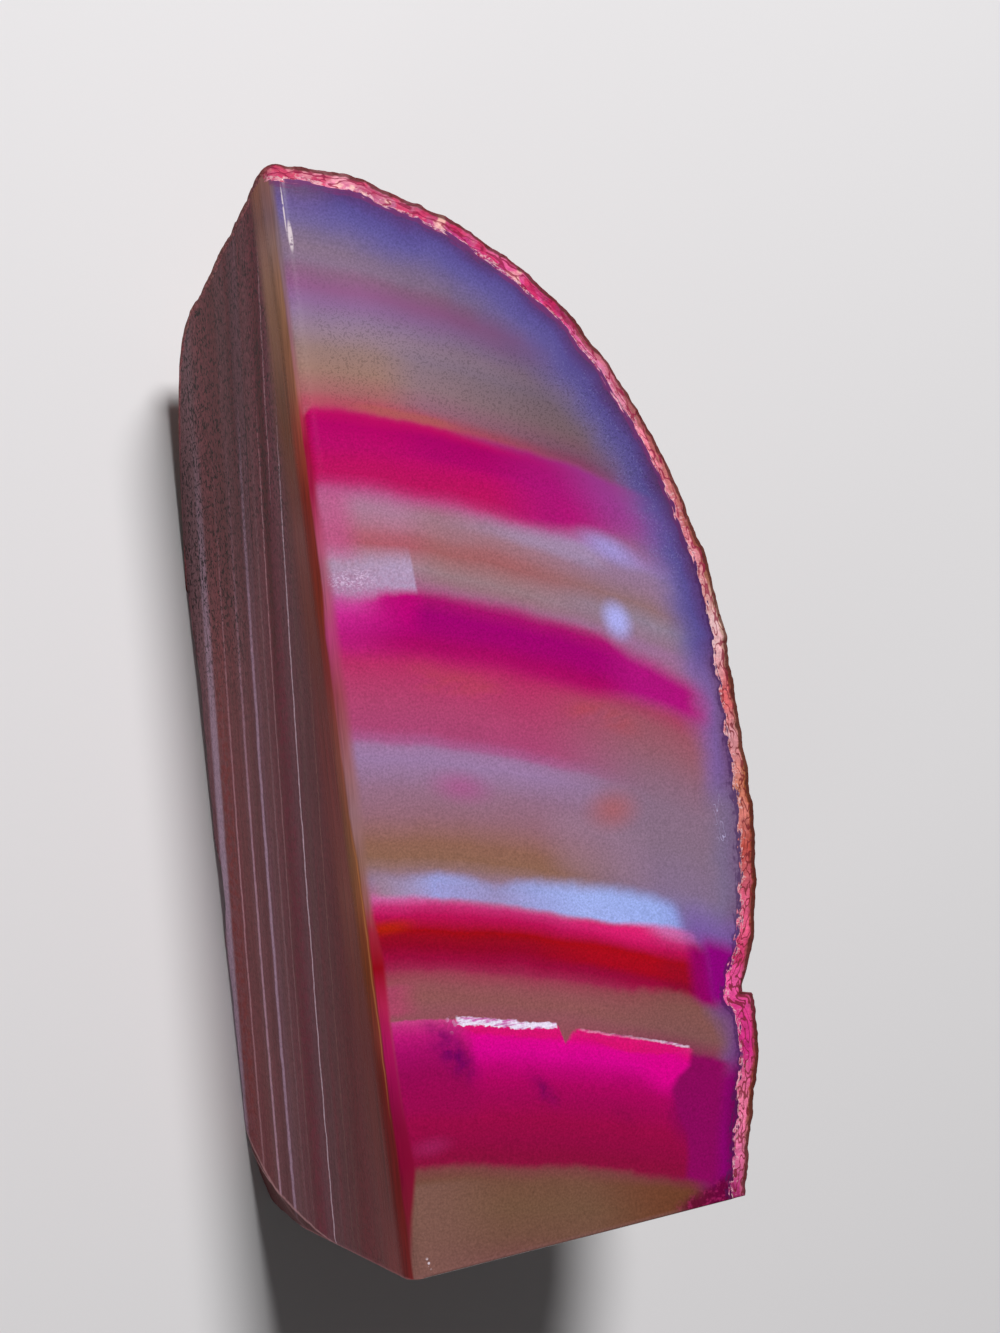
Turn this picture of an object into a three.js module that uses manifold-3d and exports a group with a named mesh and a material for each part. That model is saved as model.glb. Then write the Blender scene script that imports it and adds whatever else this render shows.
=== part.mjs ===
// A thick slice of dyed banded agate, sawn from one side of a nodule and polished.
//
// Four flat saw cuts meet the natural rind: the back cut it lies on, the long side cut, the base cut
// and the polished front face, which leans so that the slice is thickest at its base. The rind runs
// from the base, round the wide side of the front face, to the pointed tip.
//
// Millimetres. X is the width, from the side cut to the rind. Y is the length, from the base cut to
// the tip. Z is the thickness, from the back cut to the front face. While it is built, x = 0 is the
// side cut, y = 0 the base cut and z = 0 the back cut. At the end the origin moves to the middle of
// the bounding box, at the back cut.

import * as THREE from 'three';
import { mergeVertices } from 'three/addons/utils/BufferGeometryUtils.js';
import Module from 'manifold-3d';

const wasm = await Module();
wasm.setup();

// Driving dimensions.
const BASE_THICKNESS = 60;
const FRONT_LEAN = THREE.MathUtils.degToRad(3);
const EDGE_RADIUS = 3;
const EDGE_FACETS = 5;

// The nodule that the slice is sawn from, as its outline at the height of the front face. The first
// rows run up the rind from the base cut to the tip, and the last rows lie beyond the saw cuts.
const NODULE_OUTLINE = [
  [53.2, 0],
  [55, 7.5],
  [57.6, 15.5],
  [59.3, 22.5],
  [59.2, 26],
  [57.6, 28.2],
  [59.4, 32.5],
  [62, 40.5],
  [63.5, 50],
  [64, 59],
  [63.6, 70],
  [63.6, 80],
  [62.3, 90.5],
  [59.8, 100],
  [56.4, 109.5],
  [51, 120.3],
  [44.6, 129.5],
  [36.6, 137],
  [27, 143],
  [17.5, 147.4],
  [9, 150],
  [2, 150.4],
  [-12, 148],
  [-38, 128],
  [-52, 80],
  [-48, 20],
  [-28, -24],
  [5, -40],
  [34, -28],
  [49, -11],
];
const OUTLINE_POINTS = 150;

// The rind leans inward from the front face down to CURL_HEIGHT, then curls under to meet the back.
const LENGTH_CENTRE_Y = 45;
const CURL_HEIGHT = 17.5;
const CURL_POWER = 3.4;
const ALONG_LENGTH = { lean: 0.0033, curl: 0.34, fullAt: 52 };
const ALONG_WIDTH = { lean: 0.0018, curl: 0.2, fullAt: 58.5 };
const RING_BOTTOM = -4;
const RING_TOP = 66;
const RING_COUNT = 26;
const RING_SPACING_POWER = 1.7;
const RIND_RELIEF = 0.15;

// A chip off the corner where the side, base and back cuts meet: a large flake, a thinner flake
// above it, and a narrow bevel on the rest of that edge. Each is a plane, given by where it crosses
// the X, Y and Z edges of the square corner.
const CORNER_FLAKES = [
  [3.2, 12.4, 23],
  [0.9, 8.5, 34],
  [0.25, 0.8, 600],
];

const AGATE_COLOUR = 0xb04a86;

// How much of the outline's reach is left at height z.
function reach(z, { lean, curl, fullAt }) {
  const below = Math.max(0, 1 - z / CURL_HEIGHT);
  return 1 + lean * (z - fullAt) - curl * below ** CURL_POWER;
}

// Low, broad lumps of the rind, as a factor on the reach.
function lumps(turn, z, size) {
  const broad = Math.sin(19 * turn) * Math.cos(z / 11);
  const middling = Math.cos(33 * turn) * Math.sin(z / 6 + 1);
  const small = Math.sin(57 * turn) * Math.sin(z / 4);
  return 1 + (RIND_RELIEF * (broad + middling + small)) / size;
}

// The closed nodule: rings of the outline, each drawn in for its height, with a fan on each end.
function noduleGeometry() {
  const corners = NODULE_OUTLINE.map(([x, y]) => new THREE.Vector3(x, y, 0));
  const outline = new THREE.CatmullRomCurve3(corners, true).getSpacedPoints(OUTLINE_POINTS).slice(0, -1);
  const positions = [];
  const triangles = [];
  for (let ring = 0; ring <= RING_COUNT; ring += 1) {
    const rise = (ring / RING_COUNT) ** RING_SPACING_POWER;
    const z = THREE.MathUtils.lerp(RING_BOTTOM, RING_TOP, rise);
    outline.forEach((point, index) => {
      const turn = (2 * Math.PI * index) / OUTLINE_POINTS;
      const swell = lumps(turn, z, point.length());
      const aboveCentre = point.y - LENGTH_CENTRE_Y;
      const lengthReach = aboveCentre > 0 ? reach(z, ALONG_LENGTH) : 1;
      const x = point.x * reach(z, ALONG_WIDTH) * swell;
      const y = LENGTH_CENTRE_Y + aboveCentre * lengthReach * swell;
      positions.push(x, y, z);
    });
  }
  const bottomCentre = positions.length / 3;
  positions.push(0, LENGTH_CENTRE_Y, RING_BOTTOM);
  positions.push(0, LENGTH_CENTRE_Y, RING_TOP);
  const topCentre = bottomCentre + 1;
  const topRing = RING_COUNT * OUTLINE_POINTS;
  for (let index = 0; index < OUTLINE_POINTS; index += 1) {
    const next = (index + 1) % OUTLINE_POINTS;
    triangles.push(bottomCentre, next, index);
    triangles.push(topCentre, topRing + index, topRing + next);
    for (let ring = 0; ring < RING_COUNT; ring += 1) {
      const low = ring * OUTLINE_POINTS;
      const high = low + OUTLINE_POINTS;
      triangles.push(low + index, low + next, high + next);
      triangles.push(low + index, high + next, high + index);
    }
  }
  const geometry = new THREE.BufferGeometry();
  geometry.setAttribute('position', new THREE.Float32BufferAttribute(positions, 3));
  geometry.setIndex(triangles);
  return geometry;
}

function toSolid(geometry) {
  const plain = geometry.clone();
  plain.deleteAttribute('normal');
  plain.deleteAttribute('uv');
  const merged = mergeVertices(plain);
  const vertProperties = Float32Array.from(merged.attributes.position.array);
  const triVerts = Uint32Array.from(merged.index.array);
  return new wasm.Manifold(new wasm.Mesh({ numProp: 3, vertProperties, triVerts }));
}

function toGeometry(solid) {
  const mesh = solid.getMesh();
  const geometry = new THREE.BufferGeometry();
  geometry.setAttribute('position', new THREE.BufferAttribute(mesh.vertProperties, 3));
  geometry.setIndex(new THREE.BufferAttribute(mesh.triVerts, 1));
  return geometry;
}

// The offcut beyond one flat saw cut: a block with one face through the point, facing inward.
function offcut(point, outward) {
  const size = 500;
  const block = new THREE.BoxGeometry(size, size, size);
  block.translate(0, 0, size / 2);
  const turn = new THREE.Quaternion().setFromUnitVectors(new THREE.Vector3(0, 0, 1), outward);
  block.applyQuaternion(turn);
  block.translate(point.x, point.y, point.z);
  return toSolid(block);
}

// The side cut, the front face and the polished round edge between them, as one fan of cuts.
function frontAndSideCuts() {
  const side = new THREE.Vector3(-1, 0, 0);
  const front = new THREE.Vector3(0, Math.sin(FRONT_LEAN), Math.cos(FRONT_LEAN));
  const edgeCentre = new THREE.Vector3(EDGE_RADIUS, 0, BASE_THICKNESS);
  edgeCentre.addScaledVector(front, -EDGE_RADIUS);
  const cuts = [];
  for (let facet = 0; facet <= EDGE_FACETS + 1; facet += 1) {
    const angle = (Math.PI / 2) * (facet / (EDGE_FACETS + 1));
    const outward = new THREE.Vector3();
    outward.addScaledVector(side, Math.cos(angle));
    outward.addScaledVector(front, Math.sin(angle));
    const touch = edgeCentre.clone().addScaledVector(outward, EDGE_RADIUS);
    cuts.push(offcut(touch, outward.normalize()));
  }
  return cuts;
}

function cornerFlakeCuts() {
  return CORNER_FLAKES.map(([x, y, z]) => {
    const outward = new THREE.Vector3(-1 / x, -1 / y, -1 / z).normalize();
    return offcut(new THREE.Vector3(x, 0, 0), outward);
  });
}

function sliceGeometry() {
  const origin = new THREE.Vector3(0, 0, 0);
  const cuts = [
    offcut(origin, new THREE.Vector3(0, 0, -1)),
    offcut(origin, new THREE.Vector3(0, -1, 0)),
    ...frontAndSideCuts(),
    ...cornerFlakeCuts(),
  ];
  let slice = toSolid(noduleGeometry());
  for (const cut of cuts) {
    slice = slice.subtract(cut);
  }
  const geometry = toGeometry(slice);
  geometry.computeBoundingBox();
  const middle = geometry.boundingBox.getCenter(new THREE.Vector3());
  geometry.translate(-middle.x, -middle.y, 0);
  geometry.computeVertexNormals();
  return geometry;
}

const agate = new THREE.MeshStandardMaterial({ color: AGATE_COLOUR, roughness: 0.12, metalness: 0 });
const slice = new THREE.Mesh(sliceGeometry(), agate);
slice.name = 'agate_slice';

const part = new THREE.Group();
part.add(slice);

export default part;
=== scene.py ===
"""A thick slice of dyed banded agate: the fine mesh and its looks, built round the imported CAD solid.

The slice lies on its back cut. Shapes are worked out in millimetres in the slice's own frame:
x from the side cut, y from the base cut, z from the back cut. The frame's low corner is its origin.
"""

import math

import bpy
import numpy as np
from mathutils import Matrix, Vector, bvhtree, kdtree, noise


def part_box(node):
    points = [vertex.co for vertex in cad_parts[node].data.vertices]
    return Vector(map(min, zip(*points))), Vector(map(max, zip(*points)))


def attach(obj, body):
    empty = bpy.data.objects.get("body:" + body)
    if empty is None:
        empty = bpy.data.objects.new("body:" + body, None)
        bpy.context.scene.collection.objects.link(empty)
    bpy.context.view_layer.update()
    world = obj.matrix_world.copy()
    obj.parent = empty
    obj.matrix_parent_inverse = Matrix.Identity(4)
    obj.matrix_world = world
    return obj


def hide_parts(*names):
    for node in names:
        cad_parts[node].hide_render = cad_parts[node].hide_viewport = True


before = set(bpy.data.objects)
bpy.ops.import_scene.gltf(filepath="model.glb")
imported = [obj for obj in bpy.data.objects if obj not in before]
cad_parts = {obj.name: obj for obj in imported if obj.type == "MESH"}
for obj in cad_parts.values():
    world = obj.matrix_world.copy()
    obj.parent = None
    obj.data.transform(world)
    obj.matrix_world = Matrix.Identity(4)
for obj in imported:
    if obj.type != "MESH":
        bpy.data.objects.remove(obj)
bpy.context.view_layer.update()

SLICE = "agate_slice"
MM = 0.001
LOW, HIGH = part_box(SLICE)
THICKNESS = ((HIGH - LOW) / MM)[2]

# Dimensions shared with the CAD solid.
FRONT_SLOPE = math.tan(math.radians(3))
EDGE_RADIUS = 3.0
AXIS_Y = 45.0

# Stations round one ring: up the side cut, round the rind, and back along the base cut.
SIDE_STATIONS = 208
RIND_STATIONS = 536
BASE_STATIONS = 56
STATIONS = SIDE_STATIONS + RIND_STATIONS + BASE_STATIONS
RIND = slice(SIDE_STATIONS, SIDE_STATIONS + RIND_STATIONS)

# Rings over the round edge and down the wall, and the small rounds at the base cut and the rim.
EDGE_RINGS = 8
WALL_RINGS = 74
BASE_BEVEL = 0.35
RIM_ROUND = 0.45

# Depths in from the rind of the rings on the rim of the front face.
RIM_INSETS = (0.2, 0.45, 0.7, 0.95, 1.2, 1.5, 1.8, 2.1, 2.4, 2.7, 3.0, 3.4, 3.9)

# The rings further in on the front face and the back cut keep one station in so many, at this scale,
# and close in on the middle points.
CAP_SCALES = (
    (2, 0.985), (2, 0.955), (2, 0.92), (2, 0.88), (2, 0.83), (4, 0.76), (4, 0.67), (8, 0.55), (16, 0.4),
    (32, 0.2),
)
FRONT_MIDDLE = (24.0, 62.0)
BACK_MIDDLE = (20.0, 52.0)

# Width of the crystalline rim of the front face, by degrees of turn from the tip round to the base.
RIM_WIDTHS = (
    (0, 1.9), (12, 1.9), (18, 2.0), (25, 2.0), (31, 1.85), (37, 2.0), (46, 1.85), (57, 1.95), (63, 2.2),
    (72, 2.3), (80, 2.5), (88, 2.6), (94, 2.5), (100, 2.4), (104, 2.9), (108, 3.2), (113, 2.9), (122, 2.4),
    (134, 2.2),
)

# Flakes off the corner of the side, base and back cuts: where each meets the X, Y and Z edges, and its
# bend, 1 for a flat flake and less for one that bulges to the corner.
CORNER_FLAKES = ((3.2, 12.4, 23.0, 0.78), (0.9, 8.5, 34.0, 0.78), (0.25, 0.8, 600.0, 1.0))

# Chips along the edge of the side and back cuts: middle along y, half length, depth.
BACK_EDGE_CHIPS = ((82, 13, 1.6), (50, 8, 2.1), (66, 9, 0.9), (34, 9, 0.7), (21, 7, 0.6), (97, 6, 0.5))


def front_height(y):
    return THICKNESS - y * FRONT_SLOPE


def smooth(value, start, end):
    share = np.clip((value - start) / (end - start), 0, 1)
    return share * share * (3 - 2 * share)


def noises(points, size, seed, octaves=1):
    """Perlin noise from about -1 to 1 at each point, with lumps of that size in millimetres."""
    shift = Vector((seed, seed * 1.7, seed * 2.3))
    total = np.zeros(len(points))
    share = 1.0
    for _ in range(octaves):
        total += share * np.array([noise.noise(Vector(p) / size + shift) for p in points])
        size, share = size / 2, share / 2
    return total


def cells(points, size, seed):
    """How far each point is across its crystal grain: 0 in the middle, about 1 where grains meet."""
    shift = Vector((seed, seed * 1.7, seed * 2.3))
    out = np.zeros(len(points))
    for i, p in enumerate(points):
        near = noise.voronoi(Vector(p) / size + shift)[0]
        out[i] = 1 - min(1.0, (near[1] - near[0]) * 1.6)
    return out


# ---- The rind, measured on the CAD solid.


def cad_tree():
    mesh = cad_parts[SLICE].data
    corners = [(v.co - LOW) / MM for v in mesh.vertices]
    return bvhtree.BVHTree.FromPolygons(corners, [tuple(p.vertices) for p in mesh.polygons])


# The rind is measured by rays from well outside it, at these turns and these shares of the height.
TURNS = np.radians(np.linspace(0.0, 150.0, 751))
LEVELS = np.linspace(0.0, 1.0, 61)
RAY_START = 130


def measure_reach():
    """The rind's distance from the long axis, by height share and turn, with the CAD facets smoothed out."""
    tree = cad_tree()
    table = np.zeros((len(LEVELS), len(TURNS)))
    for row, level in enumerate(LEVELS):
        share = min(max(level, 0.002), 0.998)
        origin = Vector((0.0, AXIS_Y, share * front_height(AXIS_Y)))
        valid = np.zeros(len(TURNS), bool)
        for column, turn in enumerate(TURNS):
            ray = Vector((math.sin(turn), math.cos(turn), -share * FRONT_SLOPE * math.cos(turn)))
            hit = tree.ray_cast(origin + RAY_START * ray, -ray)[0]
            if hit is None:
                continue
            # Rays that meet a saw cut or the round edge don't count.
            on_round_edge = hit.x < EDGE_RADIUS + 0.4 and front_height(hit.y) - hit.z < EDGE_RADIUS + 0.3
            valid[column] = hit.x > 0.4 and hit.y > 0.15 and not on_round_edge
            table[row, column] = math.hypot(hit.x, hit.y - AXIS_Y)
        good = np.flatnonzero(valid)
        first, last = good[0], good[-1]
        step = (table[row, last] - table[row, last - 12]) / 12
        table[row, last + 1 :] = table[row, last] + step * np.arange(1, len(TURNS) - last)
        # Straight on along y = constant before the first good ray, where the outline is nearly level.
        top = table[row, first] * math.cos(TURNS[first])
        table[row, :first] = top / np.cos(TURNS[:first])
    return blur(blur(table, 5, 1), 1.3, 0)


def blur(table, sigma, axis):
    reach = int(3 * sigma) + 1
    weights = np.exp(-0.5 * (np.arange(-reach, reach + 1) / sigma) ** 2)
    weights /= weights.sum()
    pad = [(0, 0), (0, 0)]
    pad[axis] = (reach, reach)
    padded = np.pad(table, pad, mode="reflect", reflect_type="odd")
    return np.apply_along_axis(lambda row: np.convolve(row, weights, mode="valid"), axis, padded)


REACH = measure_reach()


def reach_at(turn, level):
    column = np.clip(turn / TURNS[1], 0, len(TURNS) - 1.001)
    row = np.clip(level / LEVELS[1], 0, len(LEVELS) - 1.001)
    left, under = column.astype(int), row.astype(int)
    across, up = column - left, row - under
    low = REACH[under, left] * (1 - across) + REACH[under, left + 1] * across
    high = REACH[under + 1, left] * (1 - across) + REACH[under + 1, left + 1] * across
    return low * (1 - up) + high * up


# ---- The rings of points that make the mesh.


def spread(count, pinch):
    """count shares from 0 up to, and not including, 1, closer together at both ends."""
    share = np.arange(count) / count
    return share - pinch * np.sin(2 * math.pi * share)


def rounded(depth, radius):
    """How far a rounded edge stands in from its flat face at this depth below the other face."""
    left = np.clip(radius - depth, 0, radius)
    return radius - np.sqrt(radius**2 - left**2)


def rind_curve(height_of, inset):
    """A dense outline of the rind, from turn 0 on, for z = height_of(y), drawn in by inset."""
    turn = TURNS
    y = np.full(len(turn), AXIS_Y)
    for _ in range(4):
        level = np.clip(height_of(y) / front_height(y), 0, 1)
        reach = reach_at(turn, level)
        y = AXIS_Y + reach * np.cos(turn)
    x = reach * np.sin(turn)
    if inset > 0:
        sigma = 3 + 4 * inset
        x, y = (blur(np.array([v, v]), sigma, 1)[0] for v in (x, y))
        dx, dy = np.gradient(x), np.gradient(y)
        size = np.hypot(dx, dy)
        x, y = x + inset * dy / size, y - inset * dx / size
    return x, y


def cut_curve(x, y, x_start, y_end):
    """RIND_STATIONS + 1 even points, from where the curve crosses x_start to where it meets y_end."""
    first = np.argmax(x > x_start)
    last = len(y) - 1 - np.argmax(y[::-1] > y_end)
    share = (x_start - x[first - 1]) / (x[first] - x[first - 1])
    y_start = y[first - 1] + share * (y[first] - y[first - 1])
    share = (y[last] - y_end) / (y[last] - y[last + 1])
    x_end = x[last] + share * (x[last + 1] - x[last])
    kept_x = np.concatenate([[x_start], x[first : last + 1], [x_end]])
    kept_y = np.concatenate([[y_start], y[first : last + 1], [y_end]])
    along = np.concatenate([[0], np.cumsum(np.hypot(np.diff(kept_x), np.diff(kept_y)))])
    even = np.linspace(0, along[-1], RIND_STATIONS + 1)
    return np.interp(even, along, kept_x), np.interp(even, along, kept_y)


def relief(points):
    """The rind's knobs and pits, in millimetres outward."""
    knobs = 0.34 * noises(points, 7.0, 3.1) + 0.34 * noises(points, 3.0, 8.2)
    pits = -0.22 * np.clip(noises(points, 1.9, 5.5), 0, 1) - 0.16 * cells(points, 1.7, 2.0)
    torn = 0.22 * noises(points, 1.1, 6.4) * smooth(points[:, 0], 5.0, 1.0)
    proud = 0.34 + 0.32 * smooth(points[:, 1], 30, 38)
    return knobs + pits + torn + proud


def ledge(points, depth):
    """The step in the rind low on the wide side, as a push along x: a lobe stands out under a notch."""
    y = points[:, 1]
    lobe = 1.3 * smooth(y, 28.45, 28.15) * np.clip((y - 24.5) / 3.7, 0, 1) ** 1.3
    bite = -0.35 * smooth(y, 31.5, 28.9) * smooth(y, 28.2, 28.5)
    return (lobe + bite) * (1 - smooth(depth, 8, 30))


def side_chips(y, z):
    """How far the side cut is broken back at (y, z)."""
    points = np.stack([np.zeros_like(y), y, z], -1)
    rough = 0.10 * noises(points, 3.0, 1.3) + 0.05 * noises(points, 1.0, 4.1)
    depth = np.zeros_like(y)
    for x_cut, y_cut, z_cut, bend in CORNER_FLAKES:
        flake = x_cut * (1 - np.clip(y / y_cut, 0, None) ** bend - np.clip(z / z_cut, 0, None) ** bend)
        depth = np.maximum(depth, np.where(flake > -0.3, flake + min(x_cut, 1.0) * rough, 0))
    size = 0.18 + 0.12 * noises(points * [0, 1, 0], 2.2, 6.0, 2)
    for middle, half, deep in BACK_EDGE_CHIPS:
        size += deep * np.clip(1 - ((y - middle) / half) ** 2, 0, 1)
    size = np.clip(size, 0.08, None)
    return np.maximum(np.maximum(depth, 0), 1.3 * (size - z))


def ring(height_of, depth, inset):
    """One closed ring of points at z = height_of(y), in from the outline by inset."""
    curve_x, curve_y = rind_curve(height_of, inset + float(rounded(depth, RIM_ROUND)))
    y_low = float(rounded(depth, BASE_BEVEL)) + inset
    x_low = float(rounded(depth, EDGE_RADIUS)) + inset
    rind_x, rind_y = cut_curve(curve_x, curve_y, x_low, y_low)
    points = np.stack([rind_x, rind_y, height_of(rind_y)], -1)
    if inset == 0:
        outward = np.stack([-np.gradient(rind_y), np.gradient(rind_x)], -1)
        outward /= np.linalg.norm(outward, axis=1)[:, None]
        outward[:, 0] *= smooth(rind_x - x_low, 0, 4)
        outward[:, 1] *= smooth(rind_y - y_low, 0, 4)
        push = relief(points)
        points[:, :2] += outward * push[:, None]
        points[:, 0] += ledge(points, front_height(points[:, 1]) - points[:, 2])
    elif inset < 2:
        # The lobe and the notch fade out over the first 2 mm in from the rim.
        points[:, 0] += ledge(points, np.zeros(len(points))) * (1 - inset / 2)
    tip, heel = points[0], points[-1]
    side_y = y_low + (tip[1] - y_low) * spread(SIDE_STATIONS, 0.06)
    side_z = height_of(side_y)
    side_x = np.full(SIDE_STATIONS, x_low)
    if inset == 0:
        side_x = np.maximum(side_x, side_chips(side_y, side_z) * smooth(tip[1] - side_y, 0, 2))
    corner_x = max(side_x[0], x_low)
    base_share = spread(BASE_STATIONS, 0.05)
    base_x = heel[0] + (corner_x - heel[0]) * base_share
    base_y = heel[1] + (y_low - heel[1]) * base_share
    side = np.stack([side_x, side_y, side_z], -1)
    base = np.stack([base_x, base_y, height_of(base_y)], -1)
    return np.concatenate([side, points[:-1], base])


def wall_rings():
    rings = []
    for step in range(EDGE_RINGS + 1):
        depth = EDGE_RADIUS * (1 - math.cos(math.pi / 2 * step / EDGE_RINGS))
        rings.append(ring(lambda y, d=depth: front_height(y) - d, depth, 0.0))
    low = (0.021, 0.014, 0.008, 0.0035, 0.0)
    shares = np.concatenate([np.linspace(1, 0.03, WALL_RINGS - len(low) + 1)[1:], low])
    for share in shares:
        rings.append(ring(lambda y, s=share: (front_height(y) - EDGE_RADIUS) * s, EDGE_RADIUS, 0.0))
    return rings


def cap_rings(edge, middle, scales, height_of):
    """Rings from edge in to the middle, with fewer and fewer stations, and the middle point."""
    centre = np.array([*middle, 0.0])
    rings = []
    for thin, scale in scales:
        points = centre + (edge[::thin] - centre) * scale
        points[:, 2] = height_of(points[:, 1])
        rings.append(points)
    return rings, np.array([*middle, height_of(centre[1])])


def join_rings(upper, lower, start, next_start):
    """Faces between two rings, where one may have twice the stations of the other."""
    above, below = len(upper), len(lower)
    top = [*range(start, start + above), start]
    bottom = [*range(next_start, next_start + below), next_start]
    faces = []
    for i in range(min(above, below)):
        j = i + 1
        if above == below:
            faces.append((top[i], top[j], bottom[j], bottom[i]))
        elif above < below:
            near, middle, far = bottom[2 * i : 2 * i + 3]
            faces += [(top[i], top[j], middle), (top[i], middle, near), (top[j], far, middle)]
        else:
            near, middle, far = top[2 * i : 2 * i + 3]
            faces += [(near, middle, bottom[i]), (middle, far, bottom[j]), (middle, bottom[j], bottom[i])]
    return faces


def rim_width(points):
    """Width of the crystalline rim of the front face, beside the rind, by place along the rind."""
    turn = np.degrees(np.arctan2(points[:, 0], points[:, 1] - AXIS_Y))
    ragged = 0.35 * noises(points, 2.6, 7.7) + 0.25 * noises(points, 1.0, 9.1)
    return np.interp(turn, *zip(*RIM_WIDTHS)) + ragged


def build_slice():
    walls = wall_rings()
    fronts = [ring(front_height, 0.0, inset) for inset in RIM_INSETS]
    front_cap, front_middle = cap_rings(fronts[-1], FRONT_MIDDLE, CAP_SCALES, front_height)
    backs, back_middle = cap_rings(walls[-1], BACK_MIDDLE, ((1, 0.99), *CAP_SCALES), lambda y: 0 * y)
    fronts += front_cap
    rings = fronts[::-1] + walls + backs
    points = np.concatenate([front_middle[None]] + rings + [back_middle[None]])
    count = len(rings[0])
    faces = [(0, 1 + (i + 1) % count, 1 + i) for i in range(count)]
    start = 1
    for upper, lower in zip(rings[:-1], rings[1:]):
        faces += join_rings(upper, lower, start, start + len(upper))
        start += len(upper)
    count = len(rings[-1])
    last = len(points) - 1
    faces += [(start + i, start + (i + 1) % count, last) for i in range(count)]

    # Distance in from the rind, at every point.
    wall_start = 1 + sum(len(r) for r in fronts)
    wall_index = np.arange(len(walls) * STATIONS).reshape(len(walls), STATIONS) + wall_start
    rind_index = wall_index[:, RIND].ravel()
    tree = kdtree.KDTree(len(rind_index))
    for i in rind_index:
        tree.insert(points[i], int(i))
    tree.balance()
    rind_depth = np.array([tree.find(p)[2] for p in points])
    rind_depth[rind_index] = 0

    # The rim is rough and lies a little below the polished face.
    crust = rim_width(points) - rind_depth
    depth = front_height(points[:, 1]) - points[:, 2]
    rim = np.flatnonzero((depth < 1.3) & (crust > -0.2))
    grain = cells(points[rim], 0.9, 3.0)
    drop = 0.10 + 0.12 * grain + 0.08 * noises(points[rim], 1.6, 2.7)
    fade = smooth(crust[rim], -0.1, 0.35) * (1 - smooth(depth[rim], 0.0, 1.2))
    fade *= smooth(points[rim, 0], 1.5, 4.5)
    points[rim, 2] -= np.clip(drop, 0, 0.5) * fade
    return points, faces, rind_depth, crust


def placed(name, data):
    """A new object in the scene."""
    made = bpy.data.objects.new(name, data)
    bpy.context.scene.collection.objects.link(made)
    return made


def make_slice():
    points, faces, rind_depth, crust = build_slice()
    mesh = bpy.data.meshes.new("agate_stone")
    mesh.from_pydata([tuple(LOW + Vector(p) * MM) for p in points], [], faces)
    mesh.update()
    for name, values in (("rind_depth", rind_depth), ("crust", crust)):
        attribute = mesh.attributes.new(name, "FLOAT", "POINT")
        attribute.data.foreach_set("value", values.astype(np.float32))
    mesh.polygons.foreach_set("use_smooth", np.ones(len(mesh.polygons), bool))
    mesh.set_sharp_from_angle(angle=math.radians(48))
    return placed("agate_stone", mesh)


stone = make_slice()

# ---- Shader fields: numbers and colours that vary over the stone.


def linear(colour):
    """A colour given as 0 to 255 for a screen, as the light it stands for."""
    return tuple(c / 255 / 12.92 if c <= 10 else ((c / 255 + 0.055) / 1.055) ** 2.4 for c in colour)


class Field:
    """A number that varies over the stone: an output socket that takes part in arithmetic."""

    def __init__(self, socket):
        self.socket = socket

    def __add__(self, other):
        return calc("ADD", self, other)

    def __sub__(self, other):
        return calc("SUBTRACT", self, other)

    def __mul__(self, other):
        return calc("MULTIPLY", self, other)

    def __truediv__(self, other):
        return calc("DIVIDE", self, other)

    def __rsub__(self, other):
        return calc("SUBTRACT", other, self)

    __radd__, __rmul__ = __add__, __mul__


class Colour:
    """A colour that varies over the stone, built up coat by coat."""

    def __init__(self, socket):
        self.socket = socket

    def lay(self, over, mask):
        """Lays the colour over on top, where mask is on."""
        self.socket = paint(self, over, mask).socket

    def shade(self, factor):
        """Makes the colour lighter or darker by a factor."""
        made = node("ShaderNodeMix", data_type="RGBA", clamp_factor=False)
        feed(made.inputs[0], 1 - factor)
        feed(made.inputs[6], self)
        feed(made.inputs[7], (0, 0, 0))
        self.socket = made.outputs[2]


def node(kind, **settings):
    made = tree.nodes.new(kind)
    for name, value in settings.items():
        setattr(made, name, value)
    return made


def feed(socket, value):
    """Links the socket to a field, a colour or another socket, or sets its value."""
    if isinstance(value, (Field, Colour)):
        tree.links.new(value.socket, socket)
    elif isinstance(value, bpy.types.NodeSocket):
        tree.links.new(value, socket)
    elif isinstance(value, tuple) and len(value) == 3 and socket.type == "RGBA":
        socket.default_value = (*linear(value), 1)
    else:
        socket.default_value = value


def calc(operation, a, b=None):
    made = node("ShaderNodeMath", operation=operation)
    for socket, value in zip(made.inputs, (a, b)):
        if value is not None:
            feed(socket, value)
    return Field(made.outputs[0])


def either(a, b):
    return calc("MAXIMUM", a, b)


def root(a):
    return calc("SQRT", a)


def rise(value, start, end):
    """0 before start and 1 after end, with a smooth step between; start may be the larger."""
    made = node("ShaderNodeMapRange", interpolation_type="SMOOTHSTEP", clamp=False)
    for name, v in (("Value", value), ("From Min", start), ("From Max", end)):
        feed(made.inputs[name], v)
    return Field(made.outputs[0])


def within(value, start, end, soft_start=1.0, soft_end=None):
    """1 from start to end, with edges that soft."""
    soft_end = soft_start if soft_end is None else soft_end
    up = rise(value, start - soft_start / 2, start + soft_start / 2)
    return up * rise(value, end + soft_end / 2, end - soft_end / 2)


def paint(under, over, mask):
    """The colour over, laid on the colour under where mask is on."""
    made = node("ShaderNodeMix", data_type="RGBA")
    feed(made.inputs[0], mask)
    feed(made.inputs[6], under)
    feed(made.inputs[7], over)
    return Colour(made.outputs[2])


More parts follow.
